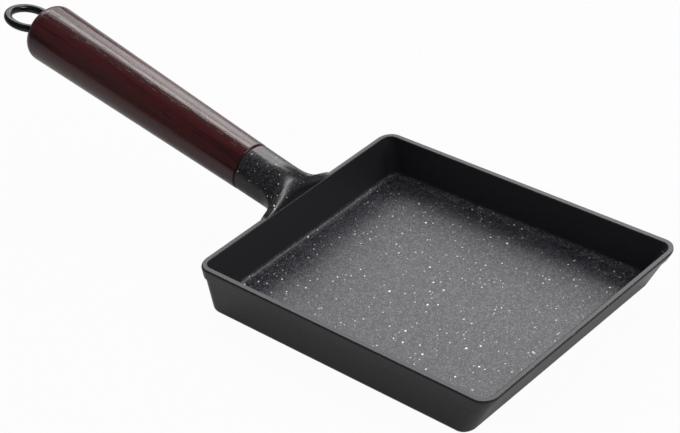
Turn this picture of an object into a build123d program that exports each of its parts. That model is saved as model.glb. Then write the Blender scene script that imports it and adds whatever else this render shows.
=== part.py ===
"""Rectangular rolled-omelette pan with a round neck, a wooden grip and a hanging eye.

The origin is the centre of the flat underside. +Z is up and +X points from the grip to the front
wall. Lengths are in millimetres.
"""

import os
from math import atan2, cos, degrees, radians, sin, sqrt

from build123d import *

os.makedirs("parts", exist_ok=True)

# Pan, measured over the band that stiffens the rim
rim_length = 178.0
rim_width = 132.5
pan_height = 26.3
rim_corner_radius = 8.0
base_corner_radius = 7.0
wall = 2.3
base_thickness = 3.4
base_edge_round = 3.5
floor_round = 3.0

# How far each wall leans out from the base to the rim
rear_lean = 1.0
front_lean = 16.7
side_lean = 0.6

# Band round the rim
band_proud = 0.8
band_height = 6.0
band_top_round = 1.2
band_step_round = 0.6
rim_inner_round = 0.3

# Neck, a round bar that rises towards the grip and flares into the rear wall
neck_angle = 13.1
neck_axis_height = 25.7
neck_length = 28.4
neck_radius = 12.4
neck_wall_radius = 12.0
neck_end_round = 0.5
neck_flare = 11.5
flare_bury = 0.3
flare_fade = 1.8
full_flare_share = 0.12
under_angle_share = 0.75
flare_widening_share = 1.0
shoulder_length = 12.0
shoulder_rise = 1.0
inside_depth_share = 0.5
flare_step_angle = 9
outline_step_angle = 15
rim_step_shares = [0.55, 0.25, 0.07, 0.0]

# Square tenon on the neck, which keeps the grip from turning
tenon_width = 12.5
tenon_length = 14.0
tenon_corner = 2.0
tenon_clearance = 0.2
tenon_end_gap = 1.0

# Gasket between neck and grip
gasket_thickness = 0.6
gasket_inset = 0.7

# Turned grip
grip_length = 151.0
grip_front_radius = 12.5
grip_end_radius = 15.6
grip_front_round = 0.9
grip_end_round = 6.0

# Tie rod with a thread at one end and the hanging eye at the other
wire_diameter = 4.3
rod_clearance = 0.75
thread_diameter = 5.0
thread_length = 16.0
thread_clearance = 0.04
thread_chamfer = 0.6
eye_radius = 10.9
eye_sink = 0.4
eye_turn = 15.0
collar_diameter = 9.0
collar_thickness = 1.5

# Threaded insert in the tenon, and the bore beyond it for the rod's tip
insert_diameter = 8.0
insert_length = 12.0
insert_flange_diameter = 10.0
insert_flange_thickness = 1.0
insert_clearance = 0.02
tip_reach = 1.0
tip_gap = 2.0
tip_clearance = 0.25

# Washers in the grip's end
washer_diameter = 14.5
washer_thickness = 1.4
washer_clearance = 0.25
spring_thickness = 0.8
spring_rise = 0.5
counterbore_clearance = 0.3

# Punched steel plate in the underside
plate_length = 118.0
plate_width = 94.0
plate_thickness = 0.6
plate_corner = 12.0
punch_diameter = 4.0
punch_columns = 8
punch_rows = 6
punch_margin = 10.0

# One overrun serves every cut
overrun = 20.0

# Places worked out from the sizes above
wall_length = rim_length - 2 * band_proud
wall_width = rim_width - 2 * band_proud
base_length = wall_length - rear_lean - front_lean
base_width = wall_width - 2 * side_lean
rim_centre = (front_lean - rear_lean) / 2
rim_rear = rim_centre - rim_length / 2
rim_rear_inner = rim_rear + band_proud + wall


def wall_outline(height, inset):
    """Rounded rectangle of the outer wall at a height, drawn in by an inset."""
    rise = height / pan_height
    length = base_length + (rear_lean + front_lean) * rise
    width = base_width + 2 * side_lean * rise
    with BuildSketch(Plane.XY.offset(height)) as outline:
        with Locations((rim_centre * rise, 0)):
            Rectangle(length - 2 * inset, width - 2 * inset)
        radius = base_corner_radius + (rim_corner_radius - band_proud - base_corner_radius) * rise
        fillet(outline.vertices(), radius - inset)
    return outline.sketch


# The grip's axis starts above the rear rim
axis_direction = Vector(-cos(radians(neck_angle)), 0, sin(radians(neck_angle)))
axis_start = Vector(rim_rear, 0, neck_axis_height)
grip_axis = Axis(axis_start, axis_direction)

# Plane that holds the grip's axis: local X runs along it and local Y is up
side_plane = Plane(axis_start, x_dir=axis_direction, z_dir=(0, 1, 0))

# Distances along the grip's axis from the rear rim
tenon_end = neck_length + tenon_length
insert_start = tenon_end - insert_length
rod_start = insert_start - tip_reach
grip_start = neck_length + gasket_thickness
grip_end = grip_start + grip_length
collar_start = grip_end - collar_thickness
washer_start = collar_start - washer_thickness
spring_start = washer_start - spring_rise - spring_thickness
eye_centre = grip_end + wire_diameter / 2 + eye_radius - eye_sink


def axis_plane(distance):
    """Plane square to the grip's axis at a distance from the rear rim."""
    return Plane(axis_start + axis_direction * distance, x_dir=(0, -1, 0), z_dir=axis_direction)


# The neck is drawn as slices, each a distance behind the rim's inner edge. They lean with the rear
# wall as they come near it. The first lies beyond the joint with the grip and the last in the
# wall. The sides and the underside flare to the wall on an arc, and the top comes down over the
# rim on another. Above the widest place the flare fades out, so the sides are hollow there.
rear_tilt = degrees(atan2(rear_lean, pan_height))
flare_end = band_proud + wall - flare_bury
flare_angles = range(0, 90, flare_step_angle)
outline_angles = range(0, 360, outline_step_angle)


def neck_slice(back, flare_angle, flare_widening=0.0):
    """Outline of the neck, a distance behind the rim's inner edge at the rim's height."""
    tilt = rear_tilt * sin(radians(flare_angle))
    along = (back - band_proud - wall) / cos(radians(neck_angle))
    radius = neck_wall_radius + (neck_radius - neck_wall_radius) * along / neck_length
    side_flare = neck_flare * (1 - cos(radians(flare_angle))) + flare_widening
    under_flare = neck_flare * (1 - cos(radians(flare_angle * under_angle_share))) + flare_widening
    axis_height = neck_axis_height - pan_height + along * sin(radians(neck_angle))
    half_height = radius / cos(radians(neck_angle + tilt))
    ahead_share = 1 - min(max(back / shoulder_length, 0), 1)
    shoulder_drop = axis_height + half_height - shoulder_rise
    top_height = shoulder_rise + shoulder_drop * sqrt(1 - ahead_share**2) - axis_height
    slice_normal = (-cos(radians(tilt)), 0, -sin(radians(tilt)))
    slice_plane = Plane((rim_rear_inner - back, 0, pan_height), x_dir=(0, -1, 0), z_dir=slice_normal)
    points = []
    for turn in outline_angles:
        across_share = cos(radians(turn))
        rise_share = sin(radians(turn))
        if rise_share > 0:
            fade_share = min((1 - rise_share) / (1 - full_flare_share), 1) ** flare_fade
            half_width = radius + side_flare * fade_share
            reach = top_height
        else:
            half_width = radius + side_flare
            reach = half_height + under_flare
        points.append((across_share * half_width, axis_height + rise_share * reach))
    with BuildSketch(slice_plane) as outline:
        with BuildLine():
            Spline(*points, periodic=True)
        make_face()
    return outline.sketch


neck_slices = [neck_slice(neck_length + overrun, 0)]
for angle in flare_angles:
    arc_back = neck_flare * (1 - sin(radians(angle)))
    neck_slices.append(neck_slice(flare_end + arc_back, angle))
neck_slices.append(neck_slice(flare_end, 90))
for step_share in rim_step_shares:
    step_widening = flare_end * (1 - step_share) * flare_widening_share
    neck_slices.append(neck_slice(flare_end * step_share, 90, step_widening))
neck_slices.append(neck_slice(-wall * inside_depth_share, 90, flare_end * flare_widening_share))

with BuildPart() as neck:
    loft(neck_slices, ruled=True)
    split(bisect_by=axis_plane(neck_length), keep=Keep.BOTTOM)
    fillet(neck.edges().sort_by(grip_axis)[-1], neck_end_round)
    with BuildSketch(axis_plane(neck_length)):
        RectangleRounded(tenon_width, tenon_width, tenon_corner)
    extrude(amount=tenon_length)
    with Locations(axis_plane(tenon_end)):
        CounterBoreHole(
            radius=insert_diameter / 2,
            counter_bore_radius=insert_flange_diameter / 2,
            counter_bore_depth=insert_flange_thickness,
            depth=insert_length,
        )
        Hole(radius=thread_diameter / 2 + tip_clearance, depth=insert_length + tip_reach + tip_gap)

# Stiffening band, a step out from the wall below the rim
with BuildPart() as rim_band:
    band_bottom = pan_height - band_height
    loft([wall_outline(band_bottom, -band_proud), wall_outline(pan_height, -band_proud)])
    fillet(rim_band.edges().group_by(Axis.Z)[-1], band_top_round)
    fillet(rim_band.edges().group_by(Axis.Z)[0], band_step_round)

# Punched steel plate, flush with the underside
with BuildPart() as base_plate:
    with BuildSketch():
        RectangleRounded(plate_length, plate_width, plate_corner)
        column_pitch = (plate_length - 2 * punch_margin) / (punch_columns - 1)
        row_pitch = (plate_width - 2 * punch_margin) / (punch_rows - 1)
        with GridLocations(column_pitch, row_pitch, punch_columns, punch_rows):
            Circle(punch_diameter / 2, mode=Mode.SUBTRACT)
    extrude(amount=plate_thickness)

# Cast pan with its neck. The cavity runs on above the rim, so that it trims the neck's shoulder
# flush with the inside of the wall.
with BuildPart() as pan_body:
    loft([wall_outline(0, 0), wall_outline(pan_height, 0)])
    fillet(pan_body.edges().group_by(Axis.Z)[0], base_edge_round)
    add(rim_band.part)
    add(neck.part)
    cavity_top = pan_height + overrun
    loft([wall_outline(base_thickness, wall), wall_outline(cavity_top, wall)], mode=Mode.SUBTRACT)
    floor_edges = pan_body.edges().filter_by_position(Axis.Z, base_thickness, base_thickness)
    fillet(floor_edges, floor_round)
    loft(
        [
            wall_outline(pan_height - rim_inner_round, wall),
            wall_outline(pan_height, wall - rim_inner_round),
        ],
        mode=Mode.SUBTRACT,
    )
    add(base_plate.part, mode=Mode.SUBTRACT)

# Fibre gasket between the neck's face and the grip
with BuildPart() as neck_gasket:
    with BuildSketch(axis_plane(neck_length)):
        Circle(neck_radius - gasket_inset)
        gasket_hole = tenon_width + 2 * tenon_clearance
        RectangleRounded(gasket_hole, gasket_hole, tenon_corner, mode=Mode.SUBTRACT)
    extrude(amount=gasket_thickness)

# Steel insert with a flange, in the tenon
with BuildPart() as thread_insert:
    with BuildSketch(axis_plane(insert_start)):
        Circle(insert_diameter / 2 - insert_clearance)
    extrude(amount=insert_length)
    with BuildSketch(axis_plane(tenon_end - insert_flange_thickness)):
        Circle(insert_flange_diameter / 2 - insert_clearance)
    extrude(amount=insert_flange_thickness)
    with Locations(axis_plane(tenon_end)):
        Hole(radius=thread_diameter / 2 + thread_clearance)

# Turned grip, with a mortise for the tenon, a bore for the rod and a counterbore for the washers
with BuildPart() as wood_grip:
    with BuildSketch(side_plane):
        with BuildLine():
            Polyline(
                (grip_start, 0),
                (grip_start, grip_front_radius),
                (grip_end, grip_end_radius),
                (grip_end, 0),
                close=True,
            )
        make_face()
    revolve(axis=grip_axis)
    fillet(wood_grip.edges().sort_by(grip_axis)[0], grip_front_round)
    fillet(wood_grip.edges().sort_by(grip_axis)[-1], grip_end_round)
    with BuildSketch(axis_plane(grip_start)):
        mortise_width = tenon_width + 2 * tenon_clearance
        RectangleRounded(mortise_width, mortise_width, tenon_corner)
    extrude(amount=tenon_length + tenon_end_gap, mode=Mode.SUBTRACT)
    with Locations(axis_plane(grip_end)):
        CounterBoreHole(
            radius=wire_diameter / 2 + rod_clearance,
            counter_bore_radius=washer_diameter / 2 + counterbore_clearance,
            counter_bore_depth=grip_end - spring_start,
        )

# Cone spring washer, which rests on its outer edge
with BuildPart() as spring_washer:
    with BuildSketch(side_plane):
        with BuildLine():
            bore_radius = wire_diameter / 2 + washer_clearance
            Polyline(
                (spring_start, washer_diameter / 2),
                (spring_start + spring_thickness, washer_diameter / 2),
                (washer_start, bore_radius),
                (spring_start + spring_rise, bore_radius),
                close=True,
            )
        make_face()
    revolve(axis=grip_axis)

# Flat washer under the collar
with BuildPart() as end_washer:
    with BuildSketch(axis_plane(washer_start)):
        Circle(washer_diameter / 2)
        Circle(wire_diameter / 2 + washer_clearance, mode=Mode.SUBTRACT)
    extrude(amount=washer_thickness)

# The eye lies in a plane through the grip's axis, turned a little out of level
eye_origin = axis_plane(eye_centre).origin
eye_normal = axis_plane(eye_centre).y_dir * cos(radians(eye_turn)) + Vector(0, sin(radians(eye_turn)), 0)

# Tie rod: threaded tip, shank, collar and a closed eye, whose wire is sunk into the collar's face
with BuildPart() as eye_rod:
    with BuildSketch(side_plane):
        with BuildLine():
            Polyline(
                (rod_start, 0),
                (rod_start, thread_diameter / 2 - thread_chamfer),
                (rod_start + thread_chamfer, thread_diameter / 2),
                (rod_start + thread_length, thread_diameter / 2),
                (rod_start + thread_length, wire_diameter / 2),
                (collar_start, wire_diameter / 2),
                (collar_start, collar_diameter / 2),
                (grip_end, collar_diameter / 2),
                (grip_end, 0),
                close=True,
            )
        make_face()
    revolve(axis=grip_axis)
    with BuildSketch(Plane(eye_origin, x_dir=axis_direction, z_dir=axis_direction.cross(eye_normal))):
        with Locations((eye_radius, 0)):
            Circle(wire_diameter / 2)
    revolve(axis=Axis(eye_origin, eye_normal))

base_plate.part.label = "base_plate"
export_step(base_plate.part, "parts/base_plate.step")
pan_body.part.label = "pan_body"
export_step(pan_body.part, "parts/pan_body.step")
neck_gasket.part.label = "neck_gasket"
export_step(neck_gasket.part, "parts/neck_gasket.step")
thread_insert.part.label = "thread_insert"
export_step(thread_insert.part, "parts/thread_insert.step")
wood_grip.part.label = "wood_grip"
export_step(wood_grip.part, "parts/wood_grip.step")
spring_washer.part.label = "spring_washer"
export_step(spring_washer.part, "parts/spring_washer.step")
end_washer.part.label = "end_washer"
export_step(end_washer.part, "parts/end_washer.step")
eye_rod.part.label = "eye_rod"
export_step(eye_rod.part, "parts/eye_rod.step")
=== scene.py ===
"""Rectangular rolled-omelette pan: its finishes, with a plain studio and the camera.

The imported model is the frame. +Z is up, +X points from the grip to the front wall, and the origin
is the centre of the flat underside. Lengths are in metres, and names that end in mm are in
millimetres.
"""

from math import cos, pi, radians, sin

import bmesh
import bpy
from mathutils import Matrix, Vector


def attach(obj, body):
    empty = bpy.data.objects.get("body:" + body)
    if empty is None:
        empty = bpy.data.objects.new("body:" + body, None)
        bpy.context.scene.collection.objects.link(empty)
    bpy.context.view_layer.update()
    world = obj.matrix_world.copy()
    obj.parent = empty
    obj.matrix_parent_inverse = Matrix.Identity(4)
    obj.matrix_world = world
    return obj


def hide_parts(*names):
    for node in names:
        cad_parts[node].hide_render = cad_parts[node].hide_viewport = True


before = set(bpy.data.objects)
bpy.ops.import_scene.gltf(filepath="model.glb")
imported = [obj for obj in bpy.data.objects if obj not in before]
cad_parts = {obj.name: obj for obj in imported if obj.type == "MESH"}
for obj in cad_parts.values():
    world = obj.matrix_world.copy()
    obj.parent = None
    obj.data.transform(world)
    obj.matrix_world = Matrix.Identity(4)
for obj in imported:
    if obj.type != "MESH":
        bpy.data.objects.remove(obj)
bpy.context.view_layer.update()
scene = bpy.context.scene
scene.view_settings.view_transform = "Standard"

# Camera
# A long lens from above the front right corner. The angles and the distance come from the pan's
# edges in the photograph, which is 680 pixels wide.
photo_width_px = 680
focal_length_px = 2100
sensor_width_mm = 36.0
camera_azimuth = radians(49.5)
camera_elevation = radians(34.3)
camera_roll = radians(-10.0)
camera_distance = 0.9908
camera_target = Vector((-0.0568, 0.0051, 0.0200))

camera_data = bpy.data.cameras.new("camera")
camera_data.sensor_width = sensor_width_mm
camera_data.lens = focal_length_px * sensor_width_mm / photo_width_px
camera = bpy.data.objects.new("camera", camera_data)
scene.collection.objects.link(camera)
scene.camera = camera
to_camera = Vector((
    sin(camera_azimuth) * cos(camera_elevation),
    -cos(camera_azimuth) * cos(camera_elevation),
    sin(camera_elevation),
))
level_right = Vector((cos(camera_azimuth), sin(camera_azimuth), 0))
level_up = to_camera.cross(level_right)
camera_right = level_right * cos(camera_roll) + level_up * sin(camera_roll)
camera_up = level_up * cos(camera_roll) - level_right * sin(camera_roll)
camera.matrix_world = Matrix((camera_right, camera_up, to_camera)).transposed().to_4x4()
camera.location = camera_target + to_camera * camera_distance


def add_node(tree, kind, settings=None, inputs=None):
    """Adds a node. An input is a value, or an output of another node, which gets linked."""
    node = tree.nodes.new(kind)
    for name, value in (settings or {}).items():
        setattr(node, name, value)
    for name, value in (inputs or {}).items():
        if isinstance(value, bpy.types.NodeSocket):
            tree.links.new(value, node.inputs[name])
        else:
            node.inputs[name].default_value = value
    return node


def linear(hex_colour):
    """Linear colour of an sRGB hex value."""
    channels = [int(hex_colour[i:i + 2], 16) / 255 for i in (1, 3, 5)]
    return [c / 12.92 if c <= 0.04045 else ((c + 0.055) / 1.055) ** 2.4 for c in channels] + [1.0]


def per_metre(size_mm):
    """Texture scale at which one cell of a pattern is this large."""
    return 1000.0 / size_mm


# Studio
# A white table under a large softbox behind the pan, which the floor of the pan mirrors. A strip
# lamp above it and a panel low behind the grip draw the highlight along the grip. A lamp beyond
# the front wall gives the foot of the neck its crescent of light.
surround_strength = 0.80
surround_mirrored_share = 0.12
softbox_direction = Vector((-0.60, 0.52, 0.60))
softbox_distance = 1.5
softbox_size = (1.5, 1.1)
softbox_radiance = 1.95
strip_direction = Vector((-0.32, 0.58, 0.75))
strip_distance = 1.2
strip_size = (1.3, 0.20)
strip_radiance = 5.6
panel_direction = Vector((-0.42, 0.82, 0.36))
panel_distance = 1.3
panel_size = (0.55, 0.80)
panel_radiance = 1.7
side_direction = Vector((0.69, 0.33, 0.65))
side_distance = 1.2
side_size = (0.75, 0.26)
side_radiance = 10.0
table_half_size = 4.0
table_drop = 0.0001
table_colour = "#a0a0a0"
table_white_share = 0.96
table_mirrored_share = 0.11


def add_seen_share(tree):
    """Ray types, and whether a ray comes straight from the camera or through glass."""
    rays = add_node(tree, "ShaderNodeLightPath")
    seen = add_node(tree, "ShaderNodeMath", {"operation": "MAXIMUM"}, {
        0: rays.outputs["Is Camera Ray"], 1: rays.outputs["Is Transmission Ray"],
    })
    return rays, seen


world = bpy.data.worlds.new("surround")
world.use_nodes = True
scene.world = world
tree = world.node_tree
tree.nodes.clear()
rays, seen = add_seen_share(tree)
lighting = add_node(tree, "ShaderNodeMapRange", None, {
    "Value": rays.outputs["Is Glossy Ray"],
    "To Min": surround_strength, "To Max": surround_mirrored_share,
})
strength = add_node(tree, "ShaderNodeMath", {"operation": "MAXIMUM"}, {
    0: seen.outputs[0], 1: lighting.outputs[0],
})
background = add_node(tree, "ShaderNodeBackground", None, {"Strength": strength.outputs[0]})
add_node(tree, "ShaderNodeOutputWorld", None, {"Surface": background.outputs[0]})


def add_softbox(name, direction, distance, size, radiance):
    """Rectangular lamp that faces the pan's middle."""
    lamp_data = bpy.data.lights.new(name, "AREA")
    lamp_data.shape = "RECTANGLE"
    lamp_data.size, lamp_data.size_y = size
    lamp_data.energy = radiance * pi * size[0] * size[1]
    lamp = bpy.data.objects.new(name, lamp_data)
    scene.collection.objects.link(lamp)
    away = direction.normalized()
    lamp.matrix_world = away.to_track_quat("Z", "Y").to_matrix().to_4x4()
    lamp.location = camera_target + away * distance
    lamp.visible_camera = False


add_softbox("back_softbox", softbox_direction, softbox_distance, softbox_size, softbox_radiance)
add_softbox("strip_light", strip_direction, strip_distance, strip_size, strip_radiance)
add_softbox("low_panel", panel_direction, panel_distance, panel_size, panel_radiance)
add_softbox("side_light", side_direction, side_distance, side_size, side_radiance)

# A hair below the pan, so that the table and the underside never lie in one plane
table_mesh = bpy.data.meshes.new("table")
shape = bmesh.new()
bmesh.ops.create_grid(shape, x_segments=1, y_segments=1, size=table_half_size)
bmesh.ops.translate(shape, verts=shape.verts, vec=(0, 0, -table_drop))
shape.to_mesh(table_mesh)
shape.free()
table = bpy.data.objects.new("table", table_mesh)
scene.collection.objects.link(table)

# Matt paint that passes on little light to the pan. The camera sees it nearly as white as the
# background, with the pan's shadow on it.
table_paint = bpy.data.materials.new("matt_white_table")
table_paint.use_nodes = True
tree = table_paint.node_tree
tree.nodes.clear()
rays, seen = add_seen_share(tree)
seen_share = add_node(tree, "ShaderNodeMath", {"operation": "MULTIPLY"}, {
    0: seen.outputs[0], 1: table_white_share,
})
white_share = add_node(tree, "ShaderNodeMath", {"operation": "MULTIPLY_ADD"}, {
    0: rays.outputs["Is Glossy Ray"], 1: table_mirrored_share, 2: seen_share.outputs[0],
})
paint = add_node(tree, "ShaderNodeBsdfDiffuse", None, {"Color": linear(table_colour)})
glow = add_node(tree, "ShaderNodeEmission", None, {"Strength": 1.0})
mix = add_node(tree, "ShaderNodeMixShader", None, {
    0: white_share.outputs[0], 1: paint.outputs[0], 2: glow.outputs[0],
})
add_node(tree, "ShaderNodeOutputMaterial", None, {"Surface": mix.outputs[0]})
table_mesh.materials.append(table_paint)


# Pan body
# One die casting in aluminium, the pan with its rim and its neck. It is sprayed with a dark
# non-stick coating and baked. Its pale grain and flecks are drawn only where the coat faces up,
# inside the pan and on the neck; keeping them to those faces paints in the glint they give where
# they catch the light. On the neck the same coat is painted darker, as painted shade. The rim and
# the outside are plain.
merge_distance = 1e-6
flat_angle = radians(0.2)
body_crease = radians(28)
rim_top = 0.0263
rim_gap_above = 0.0002
rim_gap_below = 0.0004
rim_fade = 0.0010
neck_start = -0.0825
neck_fade = 0.002
facing_up_from = 0.15
facing_up_full = 0.6
outside_from = 0.005
outside_full = 0.02

coat_dark = "#202024"
coat_grain = "#63616b"
# Real pale flecks, shown only where they face up: partly painted glint
fleck_and_glint = "#f2f2f4"
# The neck has the same coat as the pan; its darker colour is painted shade
neck_painted_shade = "#151517"
coat_roughness = 0.42
neck_roughness = 0.28
outside_roughness = 0.26
grain_mm = 0.55
grain_bare_share = 0.45
grain_strength = 0.8
neck_grain_share = 0.35
small_fleck_mm = 2.3
small_fleck_radius_mm = 0.45
small_fleck_edge_mm = 0.10
small_fleck_strength = 0.65
large_fleck_mm = 4.4
large_fleck_radius_mm = 0.62
large_fleck_edge_mm = 0.12
fleck_bend_mm = 1.3
fleck_bend = 0.0007
orange_peel_mm = 1.6
orange_peel_height = 0.00004


def smooth_copy(node_name, piece_name, crease):
    """Copy of a CAD node with its triangles joined and its curved faces shaded smooth."""
    mesh = bpy.data.meshes.new(piece_name)
    shape = bmesh.new()
    shape.from_mesh(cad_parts[node_name].data)
    bmesh.ops.remove_doubles(shape, verts=shape.verts, dist=merge_distance)
    bmesh.ops.dissolve_limit(shape, angle_limit=flat_angle, verts=shape.verts, edges=shape.edges)
    for face in shape.faces:
        face.smooth = True
        face.material_index = 0
    for edge in shape.edges:
        edge.smooth = len(edge.link_faces) == 2 and edge.calc_face_angle() < crease
    shape.to_mesh(mesh)
    shape.free()
    piece = bpy.data.objects.new(piece_name, mesh)
    scene.collection.objects.link(piece)
    weighting = piece.modifiers.new("flat_faces_stay_flat", "WEIGHTED_NORMAL")
    weighting.keep_sharp = True
    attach(piece, "root")
    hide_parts(node_name)
    return piece


def new_material(name):
    """Empty material, with its node tree."""
    material = bpy.data.materials.new(name)
    material.use_nodes = True
    material.node_tree.nodes.clear()
    return material, material.node_tree


# Sockets of a Mix node, whose names repeat: those for colours, and those for numbers
COLOUR_A, COLOUR_B, COLOUR_MIX = 6, 7, 2
NUMBER_A, NUMBER_B = 2, 3

# Sprayed and baked, the coat is satin with a faint orange peel. Its floor looks grey from a fine
# pale grain, and larger flecks lie in it like cut stone. Both are real, but they are drawn pale only
# on faces that look up, which paints in their glint. The real grain is finer than a pixel, so it is
# drawn as coarse as it needs to show.
coat, tree = new_material("sprayed_mineral_coating")
place = add_node(tree, "ShaderNodeTexCoord")
bend = add_node(tree, "ShaderNodeTexNoise", None, {
    "Vector": place.outputs["Object"], "Scale": per_metre(fleck_bend_mm), "Detail": 1.0,
})
bend_reach = add_node(tree, "ShaderNodeVectorMath", {"operation": "SCALE"}, {
    0: bend.outputs["Color"], "Scale": fleck_bend,
})
bent_place = add_node(tree, "ShaderNodeVectorMath", {"operation": "ADD"}, {
    0: place.outputs["Object"], 1: bend_reach.outputs[0],
})


def add_flecks(spacing_mm, radius_mm, edge_mm):
    """Share of the surface that flecks of one size cover, each a cut through a round grain."""
    cells = add_node(tree, "ShaderNodeTexVoronoi", None, {
        "Vector": bent_place.outputs[0], "Scale": per_metre(spacing_mm),
    })
    size = add_node(tree, "ShaderNodeSeparateColor", None, {"Color": cells.outputs["Color"]})
    radius = add_node(tree, "ShaderNodeMath", {"operation": "MULTIPLY"}, {
        0: size.outputs[0], 1: radius_mm / spacing_mm,
    })
    inside = add_node(tree, "ShaderNodeMath", {"operation": "SUBTRACT"}, {
        0: radius.outputs[0], 1: cells.outputs["Distance"],
    })
    cover = add_node(tree, "ShaderNodeMapRange", None, {
        "Value": inside.outputs[0], "From Max": edge_mm / spacing_mm,
    })
    return cover.outputs[0]


large_flecks = add_flecks(large_fleck_mm, large_fleck_radius_mm, large_fleck_edge_mm)
small_flecks = add_flecks(small_fleck_mm, small_fleck_radius_mm, small_fleck_edge_mm)
small_dimmed = add_node(tree, "ShaderNodeMath", {"operation": "MULTIPLY"}, {
    0: small_flecks, 1: small_fleck_strength,
})
flecks = add_node(tree, "ShaderNodeMath", {"operation": "MAXIMUM"}, {
    0: large_flecks, 1: small_dimmed.outputs[0],
})
grain_cells = add_node(tree, "ShaderNodeTexVoronoi", None, {
    "Vector": place.outputs["Object"], "Scale": per_metre(grain_mm),
})
grain_pick = add_node(tree, "ShaderNodeSeparateColor", None, {"Color": grain_cells.outputs["Color"]})
grain = add_node(tree, "ShaderNodeMapRange", None, {
    "Value": grain_pick.outputs[0], "From Min": grain_bare_share, "To Max": grain_strength,
})

# Where grain and flecks are drawn: the coat faces up, and lies on the neck or below the rim's top.
# Keeping them to faces that look up paints their glint; the real coat has them on the inner walls
# too.
facing = add_node(tree, "ShaderNodeSeparateXYZ", None, {0: place.outputs["Normal"]})
facing_up = add_node(tree, "ShaderNodeMapRange", None, {
    "Value": facing.outputs["Z"], "From Min": facing_up_from, "From Max": facing_up_full,
})
where = add_node(tree, "ShaderNodeSeparateXYZ", None, {0: place.outputs["Object"]})
behind_rim = add_node(tree, "ShaderNodeMapRange", None, {
    "Value": where.outputs["X"], "From Min": neck_start, "From Max": neck_start - neck_fade,
})
above_rim = add_node(tree, "ShaderNodeMapRange", None, {
    "Value": where.outputs["Z"],
    "From Min": rim_top + rim_gap_above, "From Max": rim_top + rim_fade,
})
on_neck = add_node(tree, "ShaderNodeMath", {"operation": "MAXIMUM"}, {
    0: behind_rim.outputs[0], 1: above_rim.outputs[0],
})
below_rim = add_node(tree, "ShaderNodeMapRange", None, {
    "Value": where.outputs["Z"],
    "From Min": rim_top - rim_gap_below, "From Max": rim_top - rim_fade,
})
off_rim = add_node(tree, "ShaderNodeMath", {"operation": "MAXIMUM"}, {
    0: on_neck.outputs[0], 1: below_rim.outputs[0],
})
speckle_glint_share = add_node(tree, "ShaderNodeMath", {"operation": "MULTIPLY"}, {
    0: facing_up.outputs[0], 1: off_rim.outputs[0],
})
fleck_glint_cover = add_node(tree, "ShaderNodeMath", {"operation": "MULTIPLY"}, {
    0: flecks.outputs[0], 1: speckle_glint_share.outputs[0],
})
grain_share = add_node(tree, "ShaderNodeMapRange", None, {
    "Value": on_neck.outputs[0], "To Min": 1.0, "To Max": neck_grain_share,
})
grain_left = add_node(tree, "ShaderNodeMath", {"operation": "MULTIPLY"}, {
    0: grain.outputs[0], 1: grain_share.outputs[0],
})
grain_glint_cover = add_node(tree, "ShaderNodeMath", {"operation": "MULTIPLY"}, {
    0: grain_left.outputs[0], 1: speckle_glint_share.outputs[0],
})
# On the neck the same coat is painted darker, as painted shade
ground_colour = add_node(tree, "ShaderNodeMix", {"data_type": "RGBA"}, {
    0: on_neck.outputs[0], COLOUR_A: linear(coat_dark), COLOUR_B: linear(neck_painted_shade),
})
grain_colour = add_node(tree, "ShaderNodeMix", {"data_type": "RGBA"}, {
    0: grain_glint_cover.outputs[0],
    COLOUR_A: ground_colour.outputs[COLOUR_MIX], COLOUR_B: linear(coat_grain),
})
coat_colour = add_node(tree, "ShaderNodeMix", {"data_type": "RGBA"}, {
    0: fleck_glint_cover.outputs[0],
    COLOUR_A: grain_colour.outputs[COLOUR_MIX], COLOUR_B: linear(fleck_and_glint),
})

# The outside faces away from the pan's middle, and the spray dries smoother on it
level_place = add_node(tree, "ShaderNodeVectorMath", {"operation": "MULTIPLY"}, {
    0: place.outputs["Object"], 1: (1.0, 1.0, 0.0),
})
outward = add_node(tree, "ShaderNodeVectorMath", {"operation": "DOT_PRODUCT"}, {
    0: level_place.outputs[0], 1: place.outputs["Normal"],
})
pan_roughness = add_node(tree, "ShaderNodeMapRange", None, {
    "Value": outward.outputs["Value"], "From Min": outside_from, "From Max": outside_full,
    "To Min": coat_roughness, "To Max": outside_roughness,
})
roughness = add_node(tree, "ShaderNodeMix", None, {
    0: on_neck.outputs[0], NUMBER_A: pan_roughness.outputs[0], NUMBER_B: neck_roughness,
})
peel = add_node(tree, "ShaderNodeTexNoise", None, {
    "Vector": place.outputs["Object"], "Scale": per_metre(orange_peel_mm), "Detail": 2.0,
})
peel_bump = add_node(tree, "ShaderNodeBump", None, {
    "Strength": 0.25, "Distance": orange_peel_height, "Height": peel.outputs[0],
})
coat_shader = add_node(tree, "ShaderNodeBsdfPrincipled", None, {
    "Base Color": coat_colour.outputs[COLOUR_MIX],
    "Roughness": roughness.outputs[0], "Normal": peel_bump.outputs[0],
})
add_node(tree, "ShaderNodeOutputMaterial", None, {"Surface": coat_shader.outputs[0]})

pan = smooth_copy("pan_body", "coated_pan", body_crease)
pan.data.materials.append(coat)


# Base plate
# Punched stainless sheet, pressed into the underside while the casting is hot and then faced off
# flat with it. It makes the pan work on induction.
turned_crease = radians(30)
plate_colour = "#b9b8b4"
turning_mm = 0.5
turning_height = 0.00003
noise_low = 0.3
noise_high = 0.7
plate_roughness_low = 0.26
plate_roughness_high = 0.42

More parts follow.
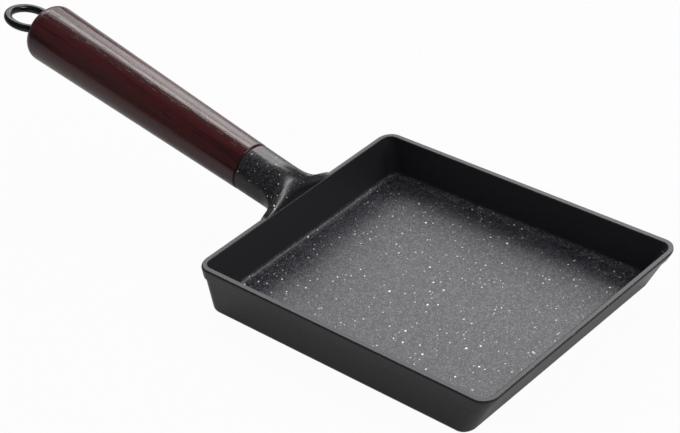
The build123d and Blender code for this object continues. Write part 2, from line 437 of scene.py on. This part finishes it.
# Faced on a lathe, so light fans out across fine rings round the pan's centre. Real turning lines
# are finer, and these are as coarse as they need to show.
plate_steel, tree = new_material("turned_stainless_sheet")
place = add_node(tree, "ShaderNodeTexCoord")
apart = add_node(tree, "ShaderNodeSeparateXYZ", None, {0: place.outputs["Object"]})
flat_place = add_node(tree, "ShaderNodeCombineXYZ", None, {0: apart.outputs[0], 1: apart.outputs[1]})
reach = add_node(tree, "ShaderNodeVectorMath", {"operation": "LENGTH"}, {0: flat_place.outputs[0]})
turning = add_node(tree, "ShaderNodeTexNoise", {"noise_dimensions": "1D"}, {
    "W": reach.outputs["Value"], "Scale": per_metre(turning_mm), "Detail": 3.0,
})
turning_bump = add_node(tree, "ShaderNodeBump", None, {
    "Strength": 0.3, "Distance": turning_height, "Height": turning.outputs[0],
})
turning_roughness = add_node(tree, "ShaderNodeMapRange", None, {
    "Value": turning.outputs[0], "From Min": noise_low, "From Max": noise_high,
    "To Min": plate_roughness_low, "To Max": plate_roughness_high,
})
plate_shader = add_node(tree, "ShaderNodeBsdfPrincipled", None, {
    "Base Color": linear(plate_colour), "Metallic": 1.0,
    "Roughness": turning_roughness.outputs[0], "Normal": turning_bump.outputs[0],
})
add_node(tree, "ShaderNodeOutputMaterial", None, {"Surface": plate_shader.outputs[0]})

plate = smooth_copy("base_plate", "punched_plate", turned_crease)
plate.data.materials.append(plate_steel)


# Neck gasket
# A ring of pressed fibre, clamped between the casting and the wood. It keeps water out of the joint.
# Its near-black colour is painted shade: it draws the shaded gap of the joint as a dark line.
fibre_mm = 0.4
fibre_dark = "#0c0b0b"
fibre_pale = "#1d1a19"

# Pressed from fibre pulp, matt and slightly mottled, in a near-black that paints the shade of the
# joint's gap. The mottle is coarser than real fibres, so that it can show.
gasket_shade_fibre, tree = new_material("gasket_fibre_painted_shade")
place = add_node(tree, "ShaderNodeTexCoord")
fibre = add_node(tree, "ShaderNodeTexNoise", None, {
    "Vector": place.outputs["Object"], "Scale": per_metre(fibre_mm), "Detail": 4.0,
})
fibre_colour = add_node(tree, "ShaderNodeMix", {"data_type": "RGBA"}, {
    0: fibre.outputs[0], COLOUR_A: linear(fibre_dark), COLOUR_B: linear(fibre_pale),
})
fibre_shader = add_node(tree, "ShaderNodeBsdfPrincipled", None, {
    "Base Color": fibre_colour.outputs[COLOUR_MIX], "Roughness": 0.85,
})
add_node(tree, "ShaderNodeOutputMaterial", None, {"Surface": fibre_shader.outputs[0]})

gasket = smooth_copy("neck_gasket", "fibre_gasket", turned_crease)
gasket.data.materials.append(gasket_shade_fibre)


# Insert and spring washer
# The turned steel insert sits in the end of the neck and takes the rod's thread. The pressed cone
# washer under the eye keeps the joint tight. Both are zinc plated.
zinc_colour = "#c3c5c4"
crystal_mm = 1.2
zinc_roughness_low = 0.25
zinc_roughness_high = 0.45

# Plating leaves a pale satin skin, clouded by its crystals
zinc, tree = new_material("zinc_plated_steel")
place = add_node(tree, "ShaderNodeTexCoord")
cloud = add_node(tree, "ShaderNodeTexNoise", None, {
    "Vector": place.outputs["Object"], "Scale": per_metre(crystal_mm), "Detail": 3.0,
})
zinc_roughness = add_node(tree, "ShaderNodeMapRange", None, {
    "Value": cloud.outputs[0], "From Min": noise_low, "From Max": noise_high,
    "To Min": zinc_roughness_low, "To Max": zinc_roughness_high,
})
zinc_shader = add_node(tree, "ShaderNodeBsdfPrincipled", None, {
    "Base Color": linear(zinc_colour), "Metallic": 1.0, "Roughness": zinc_roughness.outputs[0],
})
add_node(tree, "ShaderNodeOutputMaterial", None, {"Surface": zinc_shader.outputs[0]})

insert = smooth_copy("thread_insert", "steel_insert", turned_crease)
insert.data.materials.append(zinc)
spring = smooth_copy("spring_washer", "cone_spring", turned_crease)
spring.data.materials.append(zinc)


# Grip
# Turned hardwood, stained dark red-brown and lacquered. It is pushed over the neck's tenon, and
# the eye rod through its bore holds it there.
grip_angle = radians(13.1)
wood_deep = "#260b0d"
wood_red = "#3d1215"
wood_brown = "#371a19"
wood_stops = ((0.36, wood_deep), (0.50, wood_red), (0.66, wood_brown))
ring_band_mm = 6.0
pore_dark = "#140606"
pore_width_mm = 0.6
pore_stretch = 26.0
pore_depth = 0.00006
pore_edge = 0.57
pore_middle = 0.68
pore_tint_share = 0.7

# The stain is deepest in the open pores, which run along the grip and show through the gloss
# lacquer as short hollows. They are drawn wider than real pores, so that they can show. The wood
# has no gloss of its own under the lacquer.
wood, tree = new_material("lacquered_hardwood")
place = add_node(tree, "ShaderNodeTexCoord")
grain_place = add_node(tree, "ShaderNodeMapping", None, {
    "Vector": place.outputs["Object"], "Rotation": (0, -grip_angle, 0),
})
long_place = add_node(tree, "ShaderNodeVectorMath", {"operation": "MULTIPLY"}, {
    0: grain_place.outputs[0], 1: (1 / pore_stretch, 1.0, 1.0),
})
bands = add_node(tree, "ShaderNodeTexNoise", None, {
    "Vector": long_place.outputs[0], "Scale": per_metre(ring_band_mm), "Detail": 3.0,
})
band_colour = add_node(tree, "ShaderNodeValToRGB", None, {0: bands.outputs[0]})
band_stops = band_colour.color_ramp.elements
band_stops.new(wood_stops[1][0])
for stop, (position, colour) in zip(band_stops, wood_stops):
    stop.position = position
    stop.color = linear(colour)
pores = add_node(tree, "ShaderNodeTexNoise", None, {
    "Vector": long_place.outputs[0], "Scale": per_metre(pore_width_mm), "Detail": 2.0,
})
pore_cover = add_node(tree, "ShaderNodeMapRange", None, {
    "Value": pores.outputs[0], "From Min": pore_edge, "From Max": pore_middle,
})
pore_tint = add_node(tree, "ShaderNodeMath", {"operation": "MULTIPLY"}, {
    0: pore_cover.outputs[0], 1: pore_tint_share,
})
wood_colour = add_node(tree, "ShaderNodeMix", {"data_type": "RGBA"}, {
    0: pore_tint.outputs[0], COLOUR_A: band_colour.outputs[0], COLOUR_B: linear(pore_dark),
})
wood_bump = add_node(tree, "ShaderNodeBump", {"invert": True}, {
    "Strength": 0.5, "Distance": pore_depth, "Height": pore_cover.outputs[0],
})
lacquer_bump = add_node(tree, "ShaderNodeBump", {"invert": True}, {
    "Strength": 0.45, "Distance": pore_depth, "Height": pore_cover.outputs[0],
})
wood_shader = add_node(tree, "ShaderNodeBsdfPrincipled", None, {
    "Base Color": wood_colour.outputs[COLOUR_MIX], "Roughness": 0.5, "Specular IOR Level": 0.0,
    "Normal": wood_bump.outputs[0], "Coat Weight": 1.0, "Coat Roughness": 0.16,
    "Coat Normal": lacquer_bump.outputs[0],
})
add_node(tree, "ShaderNodeOutputMaterial", None, {"Surface": wood_shader.outputs[0]})

grip = smooth_copy("wood_grip", "turned_grip", turned_crease)
grip.data.materials.append(wood)


# Eye rod and its washer
# Drawn steel wire with a rolled thread, a collar and a closed eye. It passes through the flat
# washer and the grip and screws into the insert.
wire_crease = radians(35)
enamel_colour = "#0b0b0c"
enamel_run_mm = 2.0
enamel_run_height = 0.00005
enamel_roughness_low = 0.16
enamel_roughness_high = 0.28

# Stove enamelled, gloss black, with slight runs where it flowed before it set
enamel, tree = new_material("gloss_black_enamel")
place = add_node(tree, "ShaderNodeTexCoord")
run = add_node(tree, "ShaderNodeTexNoise", None, {
    "Vector": place.outputs["Object"], "Scale": per_metre(enamel_run_mm), "Detail": 2.0,
})
enamel_roughness = add_node(tree, "ShaderNodeMapRange", None, {
    "Value": run.outputs[0], "From Min": noise_low, "From Max": noise_high,
    "To Min": enamel_roughness_low, "To Max": enamel_roughness_high,
})
enamel_bump = add_node(tree, "ShaderNodeBump", None, {
    "Strength": 0.2, "Distance": enamel_run_height, "Height": run.outputs[0],
})
enamel_shader = add_node(tree, "ShaderNodeBsdfPrincipled", None, {
    "Base Color": linear(enamel_colour), "Roughness": enamel_roughness.outputs[0],
    "Normal": enamel_bump.outputs[0],
})
add_node(tree, "ShaderNodeOutputMaterial", None, {"Surface": enamel_shader.outputs[0]})

rod = smooth_copy("eye_rod", "hanging_rod", wire_crease)
rod.data.materials.append(enamel)
washer = smooth_copy("end_washer", "flat_washer", turned_crease)
washer.data.materials.append(enamel)
